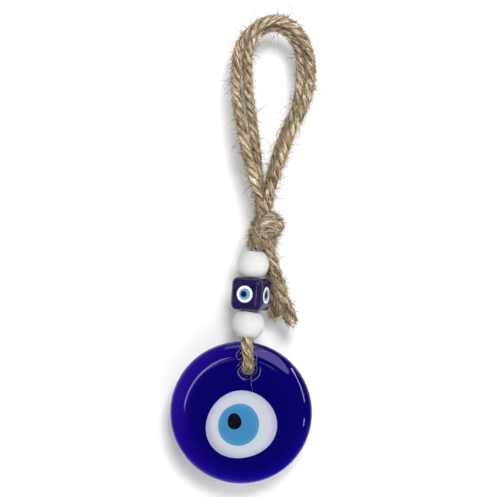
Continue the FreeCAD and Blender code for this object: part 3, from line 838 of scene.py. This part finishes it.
def share_of_radius(shade, node):
    """How far out a place is from the middle of a round node: 0 there and 1 at its rim."""
    low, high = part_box(node)
    from_middle = shade.offset_across((low + high) / 2)
    return shade.math("DIVIDE", shade.length(from_middle), (high.x - low.x) / 2)


def eye_glass(name, centre_colour, edge_colour, node, halo=None):
    """Opaque coloured glass with its own tone at the edge; halo is a node that stains the glass round it."""
    shade = Shade(name, Roughness=0.08, IOR=1.5)
    share = share_of_radius(shade, node)
    colour = shade.ramp(share, (0.0, centre_colour), (0.80, centre_colour), (0.97, edge_colour))
    if halo:
        stain = shade.ramp(share_of_radius(shade, halo), (0.98, srgb(140, 190, 216)),
                           (1.04, srgb(186, 206, 220)), (1.11, srgb(255, 255, 255)))
        colour = shade.mix("MULTIPLY", 1.0, colour, stain)
    shade.feed(colour, "Base Color")
    shade.bump(shade.noise(shade.place(), 220.0, 2.0), 0.04, 0.0003)
    return shade.material


def cube_glass():
    """Dark indigo glass with a slightly uneven surface."""
    shade = Shade("indigo_glass", Roughness=0.10, IOR=1.5)
    tone = shade.noise(shade.place(), 260.0, 3.0)
    shade.feed(shade.ramp(tone, (0.3, srgb(24, 18, 62)), (0.7, srgb(40, 32, 84))), "Base Color")
    shade.bump(shade.noise(shade.place(), 320.0, 2.0), 0.10, 0.0004)
    return shade.material


def small_glass(name, dark, light):
    """Glass for the smallest pieces, mottled between two close tones."""
    shade = Shade(name, Roughness=0.10, IOR=1.5)
    tone = shade.noise(shade.place(), 500.0, 2.0)
    shade.feed(shade.ramp(tone, (0.3, dark), (0.7, light)), "Base Color")
    return shade.material


def painted_wood():
    """White paint that lets a little of the wood's grain through."""
    shade = Shade("painted_wood", Roughness=0.55)
    shade.shader.inputs["Specular IOR Level"].default_value = 0.4
    grain = shade.noise(shade.place(), 380.0, 4.0, 0.6)
    shade.feed(shade.ramp(grain, (0.3, srgb(206, 205, 200)), (0.6, srgb(217, 216, 212))), "Base Color")
    shade.bump(grain, 0.25, 0.0002)
    return shade.material


def dress_cad():
    """Give each CAD node that is seen its own material."""
    wood = painted_wood()
    paint("upper_white_bead", wood)
    paint("lower_white_bead", wood)
    paint("glass_disc", cobalt_glass())
    paint("eye_white", eye_glass("white_glass", srgb(186, 190, 199), srgb(160, 158, 184), "eye_white",
                                 halo="eye_iris"))
    paint("eye_iris", eye_glass("light_blue_glass", srgb(58, 126, 171), srgb(70, 138, 180), "eye_iris"))
    paint("eye_pupil", small_glass("black_glass", srgb(8, 6, 14), srgb(20, 16, 28)))
    paint("cube_bead_body", cube_glass())
    white = small_glass("small_eye_white", srgb(236, 246, 250), srgb(248, 252, 254))
    iris = small_glass("small_eye_blue", srgb(96, 140, 180), srgb(126, 166, 204))
    pupil = small_glass("small_eye_dark", srgb(10, 30, 44), srgb(20, 44, 62))
    for number in range(1, 5):
        paint("cube_eye_white_%d" % number, white)
        paint("cube_eye_iris_%d" % number, iris)
        paint("cube_eye_pupil_%d" % number, pupil)


dress_cad()


# ---------------------------------------------------------------- stage and light

PANEL_SIZE = 2.4
BACKDROP_GAP = 19 * MM        # from the hang point back to the backdrop
BACKDROP_MIDDLE = -0.1
FLOOR_HEIGHT = -0.26
ORNAMENT_MIDDLE = (0, 0, -0.1)

# how bright the surround is to the camera, as a light and in highlights
SEEN_WHITE = 1.0
AMBIENT = 0.22
MIRRORED = 0.03


def flat_panel(name, place, turn, material):
    """A square panel of the stage."""
    mesh = bpy.data.meshes.new(name)
    half = PANEL_SIZE / 2
    corners = [(-half, -half, 0), (half, -half, 0), (half, half, 0), (-half, half, 0)]
    mesh.from_pydata(corners, [], [(0, 1, 2, 3)])
    mesh.materials.append(material)
    panel = bpy.data.objects.new(name, mesh)
    panel.location = place
    panel.rotation_euler = turn
    bpy.context.scene.collection.objects.link(panel)
    return panel


def one_sided_paper():
    """White paper that is there from its front and clear from behind."""
    material = bpy.data.materials.new("backdrop_paper")
    material.use_nodes = True
    tree = material.node_tree
    tree.nodes.clear()
    output = tree.nodes.new("ShaderNodeOutputMaterial")
    paper = tree.nodes.new("ShaderNodeBsdfDiffuse")
    paper.inputs["Color"].default_value = srgb(250, 250, 250)
    clear = tree.nodes.new("ShaderNodeBsdfTransparent")
    geometry = tree.nodes.new("ShaderNodeNewGeometry")
    choose = tree.nodes.new("ShaderNodeMixShader")
    tree.links.new(geometry.outputs["Backfacing"], choose.inputs["Fac"])
    tree.links.new(paper.outputs[0], choose.inputs[1])
    tree.links.new(clear.outputs[0], choose.inputs[2])
    tree.links.new(choose.outputs[0], output.inputs["Surface"])
    return material


def floor_paint():
    """Pale grey paint, a little uneven."""
    shade = Shade("floor_paint", Roughness=0.8)
    tone = shade.noise(shade.place(), 8.0, 2.0)
    shade.feed(shade.ramp(tone, (0.3, srgb(240, 240, 240)), (0.7, srgb(246, 246, 246))), "Base Color")
    return shade.material


def make_world():
    """The white surround, with its own brightness for each kind of ray."""
    world = bpy.data.worlds.new("studio")
    world.use_nodes = True
    tree = world.node_tree
    background = tree.nodes["Background"]
    background.inputs["Color"].default_value = (1, 1, 1, 1)
    rays = tree.nodes.new("ShaderNodeLightPath")
    by_sight = tree.nodes.new("ShaderNodeMath")
    by_sight.operation = "MULTIPLY_ADD"
    by_sight.inputs[1].default_value = SEEN_WHITE - AMBIENT
    by_sight.inputs[2].default_value = AMBIENT
    tree.links.new(rays.outputs["Is Camera Ray"], by_sight.inputs[0])
    dimmed = tree.nodes.new("ShaderNodeMath")
    dimmed.operation = "MULTIPLY_ADD"
    dimmed.inputs[1].default_value = MIRRORED - AMBIENT
    tree.links.new(rays.outputs["Is Glossy Ray"], dimmed.inputs[0])
    tree.links.new(by_sight.outputs[0], dimmed.inputs[2])
    tree.links.new(dimmed.outputs[0], background.inputs["Strength"])
    bpy.context.scene.world = world


def area_light(name, place, aim, width, height, brightness, roll=0.0):
    """A soft box; brightness is the light it gives per area and angle, as the glass would mirror it."""
    data = bpy.data.lights.new(name, "AREA")
    data.shape = "RECTANGLE"
    data.size = width
    data.size_y = height
    data.energy = brightness * math.pi * width * height
    light = bpy.data.objects.new(name, data)
    bpy.context.scene.collection.objects.link(light)
    light.location = place
    facing = (Vector(aim) - Vector(place)).to_track_quat("-Z", "Y").to_matrix()
    light.rotation_euler = (facing @ Matrix.Rotation(math.radians(roll), 3, "Z")).to_euler()
    light.visible_camera = False
    return light


def lamp(name, place, aim, width, height, brightness):
    """A light that lights the pieces but doesn't show as a highlight."""
    light = area_light(name, place, aim, width, height, brightness)
    light.visible_glossy = False


def mirrored_box(name, place, width, height, brightness, roll=0.0):
    """A light that only shows as a highlight; it faces the disc."""
    light = area_light(name, place, DISC_CENTRE, width, height, brightness, roll)
    light.visible_diffuse = False
    return light


def make_stage():
    """The backdrop, the floor and the surround."""
    bpy.context.scene.view_settings.view_transform = "Standard"
    upright = (math.radians(90), 0, 0)
    flat_panel("backdrop", (0, BACKDROP_GAP, BACKDROP_MIDDLE), upright, one_sided_paper())
    floor = flat_panel("floor", (0, 0, FLOOR_HEIGHT), (0, 0, 0), floor_paint())
    floor.visible_glossy = False
    make_world()


def make_lights():
    """Lamps for the whole ornament, and boxes for the shapes that the glass mirrors."""
    lamp("key", (0.065, -0.62, 0.16), ORNAMENT_MIDDLE, 0.19, 0.19, 27.5)
    lamp("sky", (0.24, -1.10, 0.30), ORNAMENT_MIDDLE, 0.34, 0.70, 2.6)
    lamp("side_window", (0.78, -0.76, -0.05), DISC_CENTRE, 0.26, 0.42, 5.0)
    lamp("back_left", (-0.35, 0.8, 0.30), ORNAMENT_MIDDLE, 0.3, 0.3, 4.5)
    lamp("back_right", (0.40, 0.8, 0.10), ORNAMENT_MIDDLE, 0.3, 0.3, 4.5)
    window = mirrored_box("tall_window", (0.33, -1.03, 0.40), 0.58, 0.74, 2.9, roll=-30)
    window.data.shape = "ELLIPSE"
    window.data.color = (0.60, 0.48, 1.0)
    mirrored_box("right_strip", (0.64, -0.68, 0.10), 0.05, 0.46, 9.0)
    mirrored_box("low_right_glint", (0.68, -0.80, -0.35), 0.03, 0.07, 18.0)
    mirrored_box("left_strip", (-0.16, -0.98, -0.17), 0.09, 0.28, 4.2, roll=-32)
    mirrored_box("top_strip", (-0.05, -0.98, -0.18), 0.26, 0.025, 2.0)
    mirrored_box("overhead", (0.0, -0.55, 0.55), 0.5, 0.35, 1.2)


make_stage()
make_lights()
